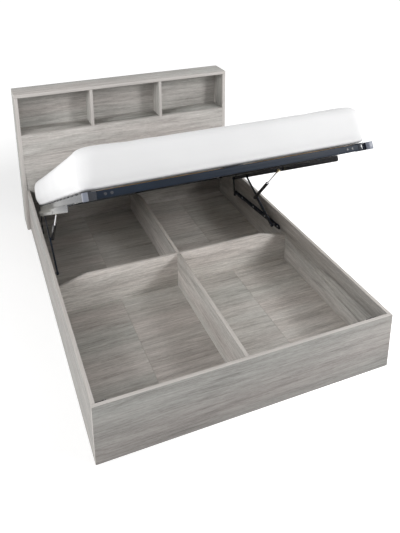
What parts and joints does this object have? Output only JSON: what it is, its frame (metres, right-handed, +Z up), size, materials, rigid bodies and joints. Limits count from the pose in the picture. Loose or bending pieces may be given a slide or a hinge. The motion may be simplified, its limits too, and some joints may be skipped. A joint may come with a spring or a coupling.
{
  "type": "ottoman storage bed",
  "caption": "Double ottoman bed with cubby headboard; the slatted platform and mattress lift on links and gas struts over divided storage.",
  "frame": {"origin": "on the floor, midway between the outer faces of the footboard and of the headboard, on the centre line", "axes": "+Z up, +Y from the footboard to the headboard, +X to the right seen from the foot; at rest the platform stands fully open"},
  "size_m": [1.46, 2.108, 1.2328],
  "materials": {
    "laminate": "satin",
    "plain_wood": "raw",
    "zinc": "plated",
    "frame_paint": "satin",
    "dark_steel": "satin",
    "black_rubber": "matt",
    "grey_plastic": "satin",
    "black_plastic": "satin",
    "slat_wood": "lacquered",
    "mattress_cloth": "knit",
    "strut_paint": "gloss",
    "rod_chrome": "polished",
    "end_brass": "satin"
  },
  "bodies": {
    "base": {"footboard": "laminate", "side_rail_right": "laminate", "side_rail_left": "laminate", "headboard_side_right": "laminate", "headboard_side_left": "laminate", "headboard_top": "laminate", "headboard_shelf": "laminate", "headboard_front_panel": "laminate", "headboard_back_panel": "laminate", "cubby_divider_right": "laminate", "cubby_divider_left": "laminate", "lengthwise_divider": "laminate", "crosswise_divider": "laminate", "floor_panel_1": "laminate", "floor_panel_2": "laminate", "floor_panel_3": "laminate", "floor_panel_4": "laminate", "floor_battens": "plain_wood", "corner_dowels": "plain_wood", "headboard_dowels": "plain_wood", "cam_bolts": "zinc", "cam_locks": "zinc", "rail_screws": "zinc", "rest_brackets": "frame_paint", "rest_pads": "black_rubber", "base_bar_right": "frame_paint", "base_bar_left": "frame_paint", "base_pivot_pins": "dark_steel"},
    "platform": {"platform_rail_right": "frame_paint", "platform_rail_left": "frame_paint", "platform_foot_rail": "frame_paint", "platform_head_rail": "frame_paint", "platform_centre_rail": "frame_paint", "top_bar_right": "frame_paint", "top_bar_left": "frame_paint", "top_bar_bolts": "dark_steel", "platform_pins": "dark_steel", "slat_holders_right": "black_plastic", "slat_holders_left": "black_plastic", "slat_holders_centre": "black_plastic", "slats_right": "slat_wood", "slats_left": "slat_wood", "mattress": "mattress_cloth", "corner_sleeves": "frame_paint", "tube_end_caps": "grey_plastic", "foot_rail_bolts": "dark_steel"},
    "rear_link_right": {"rear_link_right": "frame_paint"},
    "front_link_right": {"front_link_right": "frame_paint", "strut_stud_right": "dark_steel"},
    "strut_cylinder_right": {"strut_cylinder_right": "strut_paint", "strut_eye_right": "strut_paint"},
    "strut_rod_right": {"strut_rod_right": "rod_chrome", "rod_end_right": "end_brass"},
    "rear_link_left": {"rear_link_left": "frame_paint"},
    "front_link_left": {"front_link_left": "frame_paint", "strut_stud_left": "dark_steel"},
    "strut_cylinder_left": {"strut_cylinder_left": "strut_paint", "strut_eye_left": "strut_paint"},
    "strut_rod_left": {"strut_rod_left": "rod_chrome", "rod_end_left": "end_brass"}
  },
  "joints": [
    {"name": "front_link_right_hinge", "type": "hinge", "parent": "base", "child": "front_link_right", "pos_m": [0.6615, 0.02423, 0.19121], "axis": [1, 0, 0], "range_deg": [-22.41, 0.05]},
    {"name": "platform_lift", "type": "hinge", "parent": "front_link_right", "child": "platform", "pos_m": [0.6615, 0.38805, 0.36551], "axis": [1, 0, 0], "range_deg": [0, 50.66]},
    {"name": "front_link_left_hinge", "type": "hinge", "parent": "base", "child": "front_link_left", "pos_m": [-0.6615, 0.02423, 0.19121], "axis": [1, 0, 0], "range_deg": [-22.41, 0.05]},
    {"name": "rear_link_right_hinge", "type": "hinge", "parent": "base", "child": "rear_link_right", "pos_m": [0.6615, 0.56343, 0.14372], "axis": [1, 0, 0], "range_deg": [-39.79, 0.05]},
    {"name": "strut_right_hinge", "type": "hinge", "parent": "front_link_right", "child": "strut_cylinder_right", "pos_m": [0.647, 0.2267, 0.28821], "axis": [1, 0, 0], "range_deg": [-0.05, 68.62]},
    {"name": "strut_right_slide", "type": "slide", "parent": "strut_cylinder_right", "child": "strut_rod_right", "axis": [0, -0.6696, 0.7427], "range_m": [-0.0982, 0.0001]},
    {"name": "rear_link_left_hinge", "type": "hinge", "parent": "base", "child": "rear_link_left", "pos_m": [-0.6615, 0.56343, 0.14372], "axis": [1, 0, 0], "range_deg": [-39.79, 0.05]},
    {"name": "strut_left_hinge", "type": "hinge", "parent": "front_link_left", "child": "strut_cylinder_left", "pos_m": [-0.647, 0.2267, 0.28821], "axis": [1, 0, 0], "range_deg": [-0.05, 68.62]},
    {"name": "strut_left_slide", "type": "slide", "parent": "strut_cylinder_left", "child": "strut_rod_left", "axis": [0, -0.6696, 0.7427], "range_m": [-0.0982, 0.0001]}
  ],
  "couplings": [
    {"joint": "front_link_right_hinge", "follows": "platform_lift", "ratio": -0.44137},
    {"joint": "front_link_left_hinge", "follows": "platform_lift", "ratio": -0.44137},
    {"joint": "rear_link_right_hinge", "follows": "platform_lift", "ratio": -0.78445},
    {"joint": "strut_right_hinge", "follows": "platform_lift", "ratio": 1.3536},
    {"joint": "strut_right_slide", "follows": "platform_lift", "m_per_rad": -0.11095},
    {"joint": "rear_link_left_hinge", "follows": "platform_lift", "ratio": -0.78445},
    {"joint": "strut_left_hinge", "follows": "platform_lift", "ratio": 1.3536},
    {"joint": "strut_left_slide", "follows": "platform_lift", "m_per_rad": -0.11095}
  ]
}
